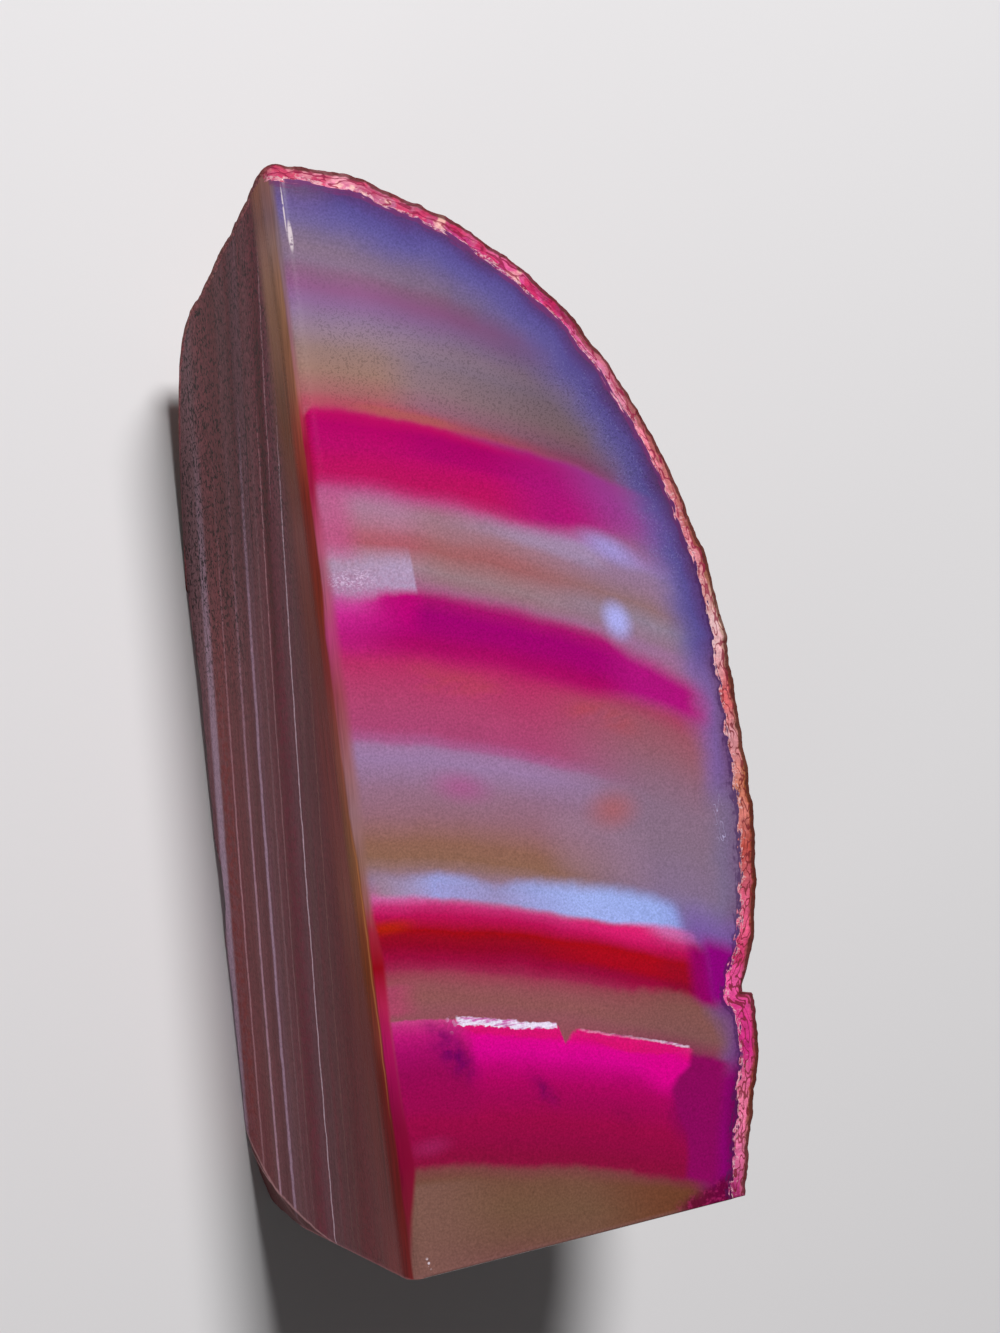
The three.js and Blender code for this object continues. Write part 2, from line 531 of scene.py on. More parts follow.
def stepped(value, stops, span):
    """A colour ramp node over the span of values that holds all the stops."""
    first, last = span
    made = node("ShaderNodeValToRGB")
    made.color_ramp.interpolation = "LINEAR"
    elements = made.color_ramp.elements
    while len(elements) < len(stops):
        elements.new(0.5)
    stops = sorted(stops)
    elements.foreach_set("position", [(place - first) / (last - first) for place, _ in stops])
    elements.foreach_set("color", [part for _, colour in stops for part in colour])
    feed(made.inputs[0], (value - first) / (last - first))
    return made.outputs


def ramp(value, stops, span):
    """Colours by place along value, from stops of a place, red, green and blue."""
    stops = [(place, (*linear(colour), 1)) for place, *colour in stops]
    return Colour(stepped(value, stops, span)["Color"])


def curve(value, stops, span):
    """A number by place along value, from stops of a place and a level, with straight lines between them."""
    stops = [(place, (1, 1, 1, level)) for place, level in stops]
    return Field(stepped(value, stops, span)["Alpha"])


def place_texture(made, size, seed, vector=None):
    """Sets a texture's lump size in millimetres, one number or three, and moves it along by its seed."""
    sizes = size if isinstance(size, tuple) else (size,) * 3
    made.texture_mapping.scale = [1 / s for s in sizes]
    made.texture_mapping.translation = (seed, seed * 1.7, seed * 2.3)
    made.inputs["Scale"].default_value = 1.0
    feed(made.inputs["Vector"], PLACE if vector is None else vector)


def grain(size, detail, seed, vector=None, roughness=0.55):
    """Soft noise from 0 to 1, with that many levels of finer detail."""
    made = node("ShaderNodeTexNoise")
    place_texture(made, size, seed, vector)
    made.inputs["Detail"].default_value = detail
    made.inputs["Roughness"].default_value = roughness
    return Field(made.outputs[0])


def sway(amount, size, detail, seed):
    """Soft noise on both sides of 0, amount from end to end."""
    return (grain(size, detail, seed) - 0.5) * amount


def threads(size, seed, start, end, vector=None):
    """Thin winding lines: 1 where soft noise is within end of its middle, and 0 beyond start."""
    return rise(calc("ABSOLUTE", grain(size, 1, seed, vector) - 0.5), start, end)


def crystals(size, seed):
    """Distance from the middle of the nearest crystal grain."""
    made = node("ShaderNodeTexVoronoi")
    place_texture(made, size, seed)
    return Field(made.outputs["Distance"])


def shades(size, seed):
    """A number from 0 to 1 for each crystal grain."""
    made = node("ShaderNodeTexVoronoi")
    place_texture(made, size, seed)
    apart = node("ShaderNodeSeparateColor")
    feed(apart.inputs[0], made.outputs["Color"])
    return Field(apart.outputs[0])


def spot(x, y, half_x, half_y, softness=1.0, tilt=0.0):
    """A soft round patch on the front face, 1 in its middle and 0 at its rim."""
    dx, dy = X - x, Y - y
    if tilt:
        dy = dy - dx * tilt
    far = root(dx * dx / half_x**2 + dy * dy / half_y**2)
    return rise(far, 1.0, 1.0 - softness)


def combined(x, y, z):
    """A texture vector of three numbers."""
    made = node("ShaderNodeCombineXYZ")
    for socket, value in zip(made.inputs, (x, y, z)):
        feed(socket, value)
    return made.outputs[0]


def attribute(name):
    return Field(node("ShaderNodeAttribute", attribute_name=name).outputs["Fac"])


# ---- The stone's material, and the fields that the rest is worked out from.

material = bpy.data.materials.new("dyed_agate")
material.use_nodes = True
tree = material.node_tree
tree.nodes.clear()

object_place = node("ShaderNodeTexCoord").outputs["Object"]
to_slice = node("ShaderNodeVectorMath", operation="MULTIPLY_ADD")
feed(to_slice.inputs[0], object_place)
to_slice.inputs[1].default_value = (1 / MM,) * 3
to_slice.inputs[2].default_value = -LOW / MM
PLACE = to_slice.outputs[0]
split = node("ShaderNodeSeparateXYZ")
feed(split.inputs[0], PLACE)
X, Y, Z = (Field(s) for s in split.outputs)

# Depth below the front face, and place over the round edge: under 0 down the side cut, 3 on the front.
FRONT_DEPTH = THICKNESS - Y * FRONT_SLOPE - Z
OVER_EDGE = calc("MINIMUM", X, EDGE_RADIUS) - FRONT_DEPTH
RIND_DEPTH = attribute("rind_depth")
CRUST = attribute("crust")
TURN = calc("ARCTAN2", X, Y - AXIS_Y) * (180 / math.pi)

# The layers rise towards the tip and the rind, ever more steeply. Each goes by its height at the corner.
TIP_RISE, TIP_BEND = 0.062, 0.00038
RIND_RISE, RIND_BEND, RIND_GROWTH = 0.012, 0.00035, 0.009
LAYER = Z - Y * (Y * TIP_BEND + TIP_RISE) - X * (X * RIND_BEND + RIND_RISE) * (Y * RIND_GROWTH + 1)

# Where that layer meets the edge of the front face and the side cut, in millimetres up from the base cut.
# FRONT_RISE, how steeply the lowest meets the front face, is TIP_RISE and FRONT_SLOPE together.
FRONT_RISE = 0.1144
BAND = root(either((THICKNESS - (LAYER + FRONT_DEPTH)) * (4 * TIP_BEND) + FRONT_RISE**2, 0.0)) - FRONT_RISE
BAND = BAND / (2 * TIP_BEND)
BAND = BAND + sway(1.1, 9, 1, 2.0) + sway(0.45, 1.6, 2, 4.0)

# ---- The dyed front face.

# The spans of values that the colour ramps are drawn over.
X_SPAN, Y_SPAN, BAND_SPAN, HALO_SPAN, BLOCK_SPAN = (0, 60), (0, 150), (0, 160), (0, 13), (10, 36)

# Colours by band, from the tip down. LOWER_BANDS goes on from UPPER_BANDS, and RIND_SIDE_BANDS takes
# over towards the rind.
UPPER_BANDS = (
    (152, 100, 80, 130), (148, 104, 80, 116), (146, 106, 88, 144), (144, 111, 97, 146), (142, 122, 104, 133),
    (140, 130, 108, 129), (138, 133, 109, 134), (136.6, 135, 96, 125), (134.6, 143, 91, 134),
    (132.6, 142, 104, 148), (130.6, 144, 118, 149), (128.5, 151, 126, 142), (126, 152, 123, 119),
    (123, 158, 122, 111), (120, 167, 103, 105), (118.4, 180, 78, 98), (112, 170, 100, 120),
    (106.5, 176, 96, 140), (104, 168, 121, 147), (102.2, 170, 114, 136), (100.6, 171, 96, 112),
    (99.4, 170, 90, 104), (97.8, 166, 112, 126), (96.2, 160, 126, 142), (94.8, 158, 110, 134),
    (93.4, 160, 90, 128), (88, 164, 40, 100), (83.5, 180, 40, 96), (81, 179, 54, 102), (77, 173, 66, 109),
    (73.4, 168, 69, 114), (72.2, 165, 88, 136),
)
LOWER_BANDS = (
    (73.4, 168, 69, 114), (72.2, 165, 88, 136), (71, 156, 118, 158), (69.5, 154, 121, 162),
    (67.5, 150, 115, 148), (65.5, 148, 108, 132), (62, 148, 104, 118), (60, 147, 102, 102),
    (58.2, 143, 99, 84), (56.3, 141, 100, 82), (55, 144, 108, 104), (53, 148, 122, 150), (51, 170, 110, 140),
    (48, 170, 40, 70), (41.4, 156, 46, 78), (40.2, 155, 66, 84), (38.6, 148, 82, 88), (37, 144, 86, 86),
    (35.4, 146, 84, 92), (34, 146, 80, 90), (16, 140, 66, 74), (14, 126, 68, 68), (12.4, 119, 80, 64),
    (9, 117, 84, 65), (5, 117, 81, 67), (2.5, 119, 77, 72), (0, 124, 76, 74),
)
RIND_SIDE_BANDS = (
    (120, 122, 92, 152), (117, 140, 66, 142), (113, 148, 60, 136), (109, 148, 94, 136), (106, 154, 124, 176),
    (103, 154, 118, 158), (100, 150, 112, 126), (97.5, 148, 132, 162), (94.5, 154, 112, 150),
    (84, 164, 66, 96), (82, 155, 84, 100), (78, 148, 94, 109), (74, 141, 102, 122), (70, 137, 108, 130),
    (64, 135, 110, 132), (58, 133, 110, 140), (56, 130, 112, 150), (53, 124, 112, 160), (51, 130, 84, 140),
    (43, 140, 66, 74), (40, 133, 84, 79), (36, 132, 85, 84), (33, 136, 40, 84), (16, 134, 14, 76),
    (13, 116, 62, 44), (0, 110, 62, 42),
)
dyed = paint(ramp(BAND, LOWER_BANDS, BAND_SPAN), ramp(BAND, UPPER_BANDS, BAND_SPAN), rise(BAND, 71, 72.5))
dyed.lay((186, 84, 134), rise(X, 8, 3.5) * within(BAND, 96.5, 106, 2, 2) * 0.75)
dyed.lay(ramp(BAND, RIND_SIDE_BANDS, BAND_SPAN), rise(X, 27, 49) * rise(BAND, 122, 114))
dyed.lay((128, 105, 84), within(BAND, 94.5, 106, 2) * rise(X, 12, 19) * 0.32)
dyed.lay((118, 118, 178), within(BAND, 119, 128, 3) * rise(X, 12, 20) * 0.22)
dyed.lay((164, 132, 156), within(BAND, 57, 65, 3) * within(X, 30, 44, 6) * 0.25)

# The layers near the tip grow darker towards the rind.
DUSK = ((0, 1), (13, 1), (22, 0.86), (30, 0.75), (37, 0.64), (50, 0.58))
dusk = curve(X + (BAND - 128) * 0.2, DUSK, X_SPAN)
dyed.shade(1 - (1 - dusk) * rise(BAND, 116.5, 119))

# The blue and violet halo inside the rind, purple towards the base.
HALO = (
    (0, 76, 44, 92), (2.4, 86, 56, 104), (3.4, 86, 62, 122), (4.6, 88, 76, 141), (6.5, 95, 86, 149),
    (9, 106, 94, 148), (13, 120, 102, 138),
)
MID_HALO = (
    (0, 96, 66, 108), (3, 110, 76, 122), (4.5, 122, 92, 152), (6.5, 127, 98, 160), (10, 133, 104, 142),
    (13, 134, 106, 130),
)
GREY_HALO = (
    (0, 116, 80, 116), (3.5, 120, 96, 130), (6, 121, 106, 140), (10, 125, 108, 132), (13, 130, 108, 130),
)
LOW_HALO = (
    (0, 96, 34, 96), (3, 108, 50, 112), (5, 118, 78, 136), (7.5, 124, 96, 140), (10, 130, 88, 100),
    (13, 132, 84, 84),
)
PURPLE_HALO = (
    (0, 104, 0, 70), (2.6, 118, 2, 84), (4.2, 138, 0, 110), (7, 142, 0, 112), (9, 138, 6, 94),
    (13, 136, 6, 90),
)
HALO_REACH = ((0, 0.75), (15, 0.8), (22, 0.6), (45, 0.75), (60, 0.75), (80, 0.85), (110, 1), (150, 1))
ragged_depth = RIND_DEPTH + sway(3, 7, 2, 6)
halo = ramp(ragged_depth, HALO, HALO_SPAN)
for stops, start, end in (
    (MID_HALO, 82, 72), (GREY_HALO, 62, 54), (LOW_HALO, 37, 30), (PURPLE_HALO, 20.6, 16.4),
):
    halo.lay(ramp(ragged_depth, stops, HALO_SPAN), rise(Y, start, end))
halo_reach = curve(Y, HALO_REACH, Y_SPAN)
dyed.lay(halo, rise(ragged_depth / halo_reach, 13, 5) * rise(X, 3, 12))
dust = rise(grain(0.32, 2, 8), 0.54, 0.72) * within(RIND_DEPTH, 3.5, 9, 2, 4) * within(Y, 88, 124, 16)
dyed.lay((146, 140, 196), dust * 0.3)

# A white patch above the second magenta band, with flecks in its lower part, and a lilac strip.
white_patch = within(X + (Y - 94) * 0.06, 1.8, 14.1, 1.6, 0.5) * rise(Y + X * 0.1, 98.9, 95.2)
white_patch *= rise(BAND, 90, 92)
white_patch *= 0.55 + 0.3 * rise(X, 4, 12) + sway(0.7, 0.5, 2, 2.4)
dyed.lay((178, 154, 188), white_patch)
flecks = rise(grain((0.34, 0.2, 1), 2, 7.1), 0.50, 0.62) * spot(4.7, 93.2, 5.8, 2.3, 0.8)
dyed.lay((220, 192, 224), flecks * 0.65)
dyed.lay((160, 142, 176), within(BAND, 103.5, 106.6, 2, 1.6) * within(X, 26, 44, 16, 5) * 0.6)

# Two magenta bands, redder below and violet towards the rind, each with a pale painted glow of light inside
# the stone at its right end.
FIRST_BAND = (
    (105, 176, 76, 134), (107, 180, 42, 106), (108.6, 181, 18, 90), (110.4, 181, 13, 92),
    (112.6, 179, 7, 100), (115.4, 177, 0, 99), (116.8, 186, 6, 96), (118.2, 188, 46, 98),
)
first_band = ramp(BAND, FIRST_BAND, (100, 120))
first_band.lay((156, 0, 100), within(BAND, 112.6, 116.2, 1.6) * rise(X, 12, 20) * 0.5)
first_band.lay((162, 44, 112), rise(BAND, 116.2, 117.8) * rise(X, 20, 30))
first_band.lay((166, 10, 60), rise(X, 2.4, 1) * 0.8)
first_band.lay((166, 20, 116), rise(X, 26, 38) * 0.8)
first_band.lay((150, 56, 138), rise(X + (BAND - 112) * 0.6, 38, 51))
bloom = sway(6, (12, 4, 12), 2, 9)
first_low = BAND - rise(X, 30, 50) * 2.6
first_mask = rise(BAND, 118.4, 117.1) * rise(first_low, 104.4, 107.8)
first_mask *= rise(X + bloom + rise(BAND, 112, 106) * 10, 57, 43)
first_mask *= rise(X - rise(BAND, 115.5, 118.5) * 1.6, 0.5, 1.3)
dyed.lay(first_band, first_mask)
dyed.lay((176, 96, 82), within(BAND, 117.6, 118.8, 0.8) * within(X, 9, 23, 6) * 0.5)
# Painted glow of light inside the stone at the first band's right end.
dyed.lay((158, 146, 208), spot(45.7, 94.7, 6.6, 3, 1, -0.5) * 0.85)

SECOND_BAND = (
    (82, 179, 44, 98), (84, 175, 16, 98), (86, 165, 6, 95), (88, 160, 2, 106), (90, 158, 0, 109),
    (92, 164, 14, 104), (93.4, 166, 60, 116),
)
second_band = ramp(BAND, SECOND_BAND, (80, 95))
second_band.lay((186, 2, 116), rise(X + (bloom - BAND) * 0.3, -11.5, -14.5) * rise(BAND, 84.5, 90) * 0.8)
second_band.lay((198, 42, 142), rise(X + bloom * 0.5, 13, 1.5) * (0.4 + rise(BAND, 86, 90) * 0.5))
second_band.lay((200, 84, 164), rise(X, 10, 2.5) * rise(BAND, 88.5, 92.5))
second_band.lay((172, 16, 120), rise(X, 40, 48))
CREST = ((0, 0.5), (8, 0.62), (14, 0.7), (26, 0.8), (42, 0.8), (48, 0.68), (54, 0.52), (60, 0.45))
crest = curve(X, CREST, X_SPAN) * 5 + 89.6
crest += (grain(2.2, 2, 7.5) - 0.5) * rise(X, 14, 8) * 1.4
second_mask = rise(BAND, crest + 0.7, crest - 0.9 - rise(X, 40, 48) * 2.2 - rise(X, 12, 4) * 1.8)
second_mask *= rise(BAND - rise(X, 38, 50) * 1.4, 82.2, 85.4)
second_mask *= rise(ragged_depth, 3.4, 9.2)
second_mask *= rise(X, 0.2, 2.6)
dyed.lay(second_band, second_mask)
# Painted glow of light inside the stone at the second band's right end.
dyed.lay((170, 170, 234), spot(45.3, 84.3, 3.3, 3.8, 0.9, -0.3))
ember = within(BAND, 79.4, 82.6, 2.4) * either(within(X, 12, 25, 7), within(X, 35, 45, 6))
dyed.lay((182, 70, 76), ember * rise(grain((7, 2.6, 4), 2, 1.5), 0.34, 0.66) * 0.4)

# The crimson band under a pale blue one, partly a pale layer of the stone and partly a painted glow of light
# inside it.
# Colours of the pale band across the face, and how high its upper edge stands, as a share of 5 mm.
PALE_BLUE = (
    (0, 150, 118, 128), (4, 156, 132, 156), (8, 160, 152, 196), (11, 156, 164, 226), (15, 156, 160, 218),
    (20, 152, 150, 200), (26, 154, 166, 226), (34, 162, 180, 242), (45, 156, 176, 240), (52, 134, 142, 212),
)
PALE_TOP = (
    (2, 0.44), (8, 0.46), (12, 0.56), (16, 0.46), (20, 0.34), (24, 0.54), (32, 0.75), (42, 0.88), (50, 0.86),
)
pale_top = curve(X, PALE_TOP, X_SPAN) * 5 + 51.2
pale_top += sway(0.9, 2.6, 2, 4.6)
pale_grain = 0.82 + 0.36 * (grain(0.5, 2, 3.3) - 0.5) * rise(X, 24, 8)
pale_soft = rise(X, 22, 32) * 0.6
pale_mask = rise(BAND, pale_top + 1 + pale_soft, pale_top - 0.9 - pale_soft) * rise(BAND, 49.6, 50.9)
pale_mask *= within(X + (BAND - 53) * 0.15, 2.6, 48.9, 2, 2.6)
dyed.lay(ramp(X, PALE_BLUE, X_SPAN), pale_mask * (pale_grain + 0.12 * rise(X, 20, 34)))

CRIMSON = (
    (39.4, 154, 76, 86), (41, 156, 36, 76), (42.4, 153, 10, 60), (44, 146, 5, 40), (45.4, 151, 8, 32),
    (46.3, 160, 8, 20), (47.1, 172, 13, 58), (48.2, 186, 16, 84), (49.4, 196, 44, 112), (50.8, 204, 104, 166),
)
crimson = ramp(BAND, CRIMSON, (38, 52))
crimson.lay((224, 26, 110), within(X, 32, 44, 14, 5) * rise(BAND, 46.4, 50) * 0.9)
crimson.lay((176, 8, 26), rise(X, 22, 36) * within(BAND, 43.6, 46.6, 1.6) * 0.7)
crimson.lay((180, 34, 6), spot(3.6, 46.2, 5.5, 1.5) * 0.85)
crimson.lay((184, 28, 20), spot(40, 46.8, 11, 1.6, 1, -0.1) * 0.5)
crimson.lay((122, 8, 42), within(X, 44.5, 52, 4) * rise(BAND, 47.6, 45.6) * (0.35 + bloom * 0.12))
crimson_low = 40.6 + rise(X, 36, 46) * 1.6 + sway(1.4, 2, 2, 2.9)
crimson_mask = rise(BAND - rise(X, 40, 48) * 0.9 + within(X, 10, 40, 6) * 0.7, 51.6, 50.2)
crimson_mask *= rise(BAND, crimson_low - 0.9, crimson_low + 0.9)
crimson_mask *= within(X, 1.6, 51, 1.2, 1.6)
dyed.lay(crimson, crimson_mask)
dyed.lay((122, 84, 162), within(BAND, 50, 55, 3, 6) * rise(X, 47, 52) * rise(RIND_DEPTH, 0.5, 3) * 0.75)
dyed.lay((146, 0, 96), within(BAND, 41.4, 50, 2, 3) * within(X, 49.4, 53, 2.6))
dyed.lay((142, 0, 122), within(BAND, 42.4, 51.4, 2, 3.4) * rise(X, 50.6, 53.2))

# The hot magenta block near the base, notched, with a pale crack along its top, its brightness partly a
# painted glint of light reflected in the crack.
block_floor = 14.6 + sway(1, 2.2, 2, 8.4)
BLOCK = (
    (13.6, 138, 20, 60), (16, 141, 12, 60), (18, 147, 9, 66), (21, 156, 8, 70), (24, 162, 5, 84),
    (26, 174, 3, 94), (28, 190, 2, 114), (30, 216, 2, 142), (31.6, 222, 3, 142), (32.8, 220, 10, 118),
    (34.2, 216, 40, 120),
)
block = ramp(BAND, BLOCK, BLOCK_SPAN)
DULL_BLOCK = (
    (13.6, 146, 34, 80), (17, 145, 10, 74), (20, 150, 10, 77), (24, 156, 6, 80), (27, 152, 6, 84),
    (30, 168, 10, 102), (32, 190, 22, 118), (33.4, 194, 44, 124), (34.4, 200, 80, 142),
)
dull = ramp(BAND, DULL_BLOCK, BLOCK_SPAN)
block.lay(dull, rise(X + sway(3, 3, 1, 5.5), 14.5, 11.5) * rise(BAND, 20, 24))
block.lay((222, 0, 140), spot(43, 20.2, 5.5, 5, 0.8, -0.25) * 0.9)
smudge = 0.35 + 0.9 * rise(grain(2, 2, 1.1), 0.35, 0.65)
block.lay((108, 0, 92), spot(10.3, 28.4, 5.2, 4.4, 1, -0.9) * 0.75 * smudge)
block.lay((114, 2, 84), spot(23.2, 20.9, 3.2, 2.8, 1, -0.8) * 0.6 * smudge)
block.lay((126, 6, 70), spot(35, 15, 2.6, 2.4, 1, -0.8) * 0.4 * smudge)
block.lay((128, 4, 86), spot(46.5, 13.5, 5.5, 6.5, 0.8) * 0.8)
block.lay((170, 44, 108), spot(5.4, 16.6, 4.6, 1.9, 1) * 0.4)
PINK_DEPTH = ((11, 0.1), (14, 0.8), (26, 0.8), (28.4, 0.1), (30, 0.3), (36, 1), (42, 0.75), (47, 0.1))
pink_depth = curve(X, PINK_DEPTH, X_SPAN) * 2.2
pink_edge = 34 - pink_depth + sway(0.8, 1.2, 2, 4.9)
block.lay((218, 16, 112), rise(BAND, pink_edge - 0.3, pink_edge + 0.3) * rise(pink_depth, 0.1, 0.6) * 0.85)
notch_side = either(X - 27.6, (27.6 - X) * 2.6) + sway(0.9, 0.8, 1, 3.1)
notch = rise(BAND - notch_side, 31.5, 32.4)
LOBES = (
    (14, 0.16), (18, 0.36), (21.5, 0.44), (24.5, 0.24), (27.4, 0.14), (29.5, 0.4), (31.5, 0.8), (34.4, 1),
)
lobes = curve(BAND, LOBES, BLOCK_SPAN) * 5 + 42.6
dyed.lay((141, 6, 92), within(BAND, 14.8, 33.4, 1.2) * rise(X, 41, 43) * rise(RIND_DEPTH, 3.4, 6.5))
block_mask = rise(BAND, 34.3, 33.95) * rise(BAND, block_floor - 0.8, block_floor + 0.6) * rise(X, 1.7, 2.3)
block_mask *= rise(X, lobes + 0.8, lobes - 0.5)
block_mask *= 1 - notch
dyed.lay(block, block_mask)
flaky = rise(grain((2.2, 0.4, 1), 3, 5), 0.37, 0.54)
ragged = grain((0.9, 0.5, 1), 2, 6.1) - 0.5
# The crack along the block's top and a finer one to its right: pale, and partly a painted glint of light.
crack_glint_top = 34.5 + ragged * 0.6
crack_glint_low = 33.15 + rise(X, 14, 27) * 0.4 - ragged * 1.2
crack_glint = rise(BAND, crack_glint_top + 0.12, crack_glint_top - 0.12) * rise(BAND, crack_glint_low, crack_glint_low + 0.2)
crack_glint *= within(X, 11.6, 26.6, 0.5, 0.3)
fine_crack_glint = within(BAND - (X - 30) * 0.02 + ragged * 0.4, 33.8, 34.12, 0.22, 0.22)
fine_crack_glint *= within(X, 30.2, 47.3, 1.2, 0.4)
fine_crack_glint *= 0.35 + rise(X, 38, 45) * 0.5
dyed.lay(paint((206, 110, 180), (238, 228, 250), flaky), crack_glint)
dyed.lay(paint((214, 120, 180), (240, 214, 240), flaky), fine_crack_glint * 0.85)
bubbles = rise(crystals(0.9, 5), 0.42, 0.30) * spot(10.9, 32.4, 1.2, 2, 0.6)
dyed.lay((206, 150, 190), bubbles * 0.5)
dyed.lay((176, 66, 104), within(BAND, 34.8, 39, 1.2) * rise(X, 7.5, 2.5) * 0.8)

# The khaki foot: browner to the right, dark crimson specks in its corner, a pale line along the base cut.
dyed.lay((130, 91, 83), rise(X, 17, 3) * rise(BAND, 13, 11.8) * 0.75)
dyed.lay((113, 66, 44), rise(X, 26, 44) * rise(BAND, 13.8, 12.4) * rise(ragged_depth, 6, 10) * 0.85)
corner = rise(Y - (X - 42) * 0.26 + sway(1.6, 1.5, 2, 3.8), 2.2, 0.2) * rise(X, 40, 44)
corner_specks = rise(grain(0.7, 3, 2.6), 0.48, 0.7)
dyed.lay(paint((100, 2, 48), (158, 30, 88), corner_specks), corner * 0.9)
dyed.lay((140, 96, 92), rise(Y, 0.8, 0.3) * rise(X, 44, 40) * 0.45)

# Two faint patches in the olive-brown layer.
dyed.lay((168, 84, 138), spot(17, 63.4, 6.5, 3.2, 1, -0.2) * 0.7)
dyed.lay((166, 96, 102), spot(40.2, 57.5, 6.2, 4.2, 1) * 0.85)

# Fine dark speckle near the tip, faint mottling everywhere, scratches, and nicks at a corner.
sand = grain(0.3, 2, 3)
specks = rise(sand, 0.48, 0.64) * within(BAND, 117, 134, 8) * rise(X, 1, 6)
dyed.shade((0.54 + sand * 0.84 + grain(5.5, 2, 6.6) * 0.08) * (1 - specks * 0.4))
scratches = threads((0.9, 2.4, 1), 4.4, 0.014, 0.004) * spot(57.9, 53, 1.3, 6.5, 0.6)
dyed.lay((190, 180, 220), scratches * 0.8)
nicks = rise(crystals(0.7, 8), 0.32, 0.2) * spot(2.9, 1.8, 1.2, 1, 0.6)
dyed.lay((214, 196, 206), nicks)

# ---- The undyed skin of the side cut, by layer, in shade: pale thin lines in brown.

# The share of the full light that reaches the side cut and the turn of the edge, and the sheen on them.
SIDE_LIGHT = 0.42
TURN_LIGHT = 0.68
SIDE_SHEEN = 0.015


def skin(colour, light=SIDE_LIGHT):
    """A colour seen with that share of the full light and a sheen, as it would be in full light without."""
    lit = [max(c - SIDE_SHEEN, 0.003) / light for c in linear(colour)]
    return tuple(255 * (1.055 * c ** (1 / 2.4) - 0.055) for c in lit)


def skins(stops, light=SIDE_LIGHT):
    return tuple((place, *skin(colour, light)) for place, *colour in stops)


SKIN_LAYERS = skins((
    (-8, 96, 66, 70), (-2, 102, 74, 80), (0.5, 104, 68, 72), (2, 104, 62, 66), (5, 100, 58, 61),
    (8, 94, 56, 59), (10.5, 91, 54, 56), (12, 94, 60, 64), (15, 92, 58, 62), (16.5, 85, 51, 54),
    (18, 88, 56, 62), (20.5, 92, 62, 69), (22, 88, 57, 61), (24.5, 88, 54, 59), (27, 84, 46, 51),
    (29, 80, 42, 48), (31, 85, 48, 55), (33, 85, 54, 60), (36, 82, 52, 56), (40, 81, 49, 52),
    (43, 82, 45, 48), (46, 80, 41, 43), (49, 86, 46, 48), (54, 88, 48, 50), (60, 98, 44, 46),
))
skin_layer = LAYER + sway(0.6, 6, 2, 1) + sway(0.45, (1.3, 1.8, 1.3), 2, 2.2)
raw = ramp(skin_layer, SKIN_LAYERS, (-10, 62))
streak_place = combined(X * 0.03, Y * 0.03, skin_layer)
streaks = grain(0.5, 3, 3, streak_place)
broad_streaks = grain(2.4, 2, 8, streak_place)
raw.shade(0.55 + streaks * 0.9)
raw.lay(skin((94, 44, 50)), rise(broad_streaks, 0.5, 0.75) * 0.45)
raw.lay(skin((84, 58, 56)), rise(broad_streaks, 0.48, 0.25) * 0.45)

# Layer, half thickness, strength at the first three of LINE_PLACES along y (it is 0 at the last), colour.
LINE_PLACES = (6, 55, 104, 122)
PALE_LINES = (
    (34, 0.18, (0.8, 0.9, 0.65), (164, 142, 154)),
    (26.4, 0.20, (0.1, 0.3, 0.7), (140, 106, 112)),
    (23.6, 0.30, (0.15, 0.45, 0.2), (118, 88, 94)),
    (18.7, 0.50, (0.8, 0.9, 0.5), (138, 112, 130)),
    (13, 0.42, (1, 0.85, 0.15), (142, 110, 124)),
    (6.6, 0.30, (0.55, 0.9, 0.2), (142, 104, 112)),
    (-0.8, 1.4, (0.75, 1, 0.5), (138, 116, 132)),
    (40.9, 0.15, (0.2, 0.4, 0.5), (118, 80, 76)),
    (37.2, 0.12, (0.3, 0.15, 0.1), (108, 74, 76)),
)
for layer, half, strengths, colour in PALE_LINES:
    strength = curve(Y, zip(LINE_PLACES, (*strengths, 0)), Y_SPAN)
    line = within(skin_layer, layer - half, layer + half, half * 1.1)
    raw.lay(skin(colour), line * strength)

# Lines near the tip: colour, start, end and softness by layer, the same along y, strength.
TIP_LINES = (
    ((62, 22, 32), (27.2, 29, 1), (76, 132, 20), 0.7),
    ((146, 112, 120), (29.9, 30.2, 0.3), (108, 138, 10), 0.6),
    ((36, 18, 24), (21.5, 21.75, 0.3), (98, 124, 6), 0.8),
)
for colour, layers, places, strength in TIP_LINES:
    raw.lay(skin(colour), within(skin_layer, *layers) * within(Y, *places) * strength)
blotches = rise(grain((1.6, 1.1, 1.6), 2, 3.3), 0.42, 0.62)
raw.lay(skin((104, 48, 46)), within(skin_layer, 1, 5.4, 1.4) * within(Y, 10, 84, 30) * blotches * 0.6)
raw.lay(skin((92, 38, 50)), within(skin_layer, 27.4, 31.4, 1.6) * rise(Y, 100, 80) * blotches * 0.5)

# Short dark squiggles and pits, thickest near the back towards the tip, with a dusty grain over all.
wriggle = threads((0.9, 1.3, 0.85), 6, 0.06, 0.02)
wriggle *= rise(grain((1, 1.3, 0.8), 1, 3.7), 0.37, 0.49)
speckled = either(within(Z, -2, 26, 10) * rise(Y, 66, 98), rise(Y, 92, 112) * 0.5 + 0.2)
sandy = grain((0.35, 0.5, 0.3), 2, 9) * 0.6 + grain((0.7, 0.9, 0.6), 2, 4) * 0.4
murk = 1 - rise(LAYER, 26, 18) * rise(Y, 84, 108) * 0.26
dots = rise(crystals(1.2, 12), 0.26, 0.12) * rise(Y, 70, 110)
sandiness = rise(Y, 60, 110) * 1.6 + 1.2
raw.shade((1 + (sandy - 0.5) * sandiness) * (1 - wriggle * speckled * 0.9) * (1 - dots * 0.75) * murk)
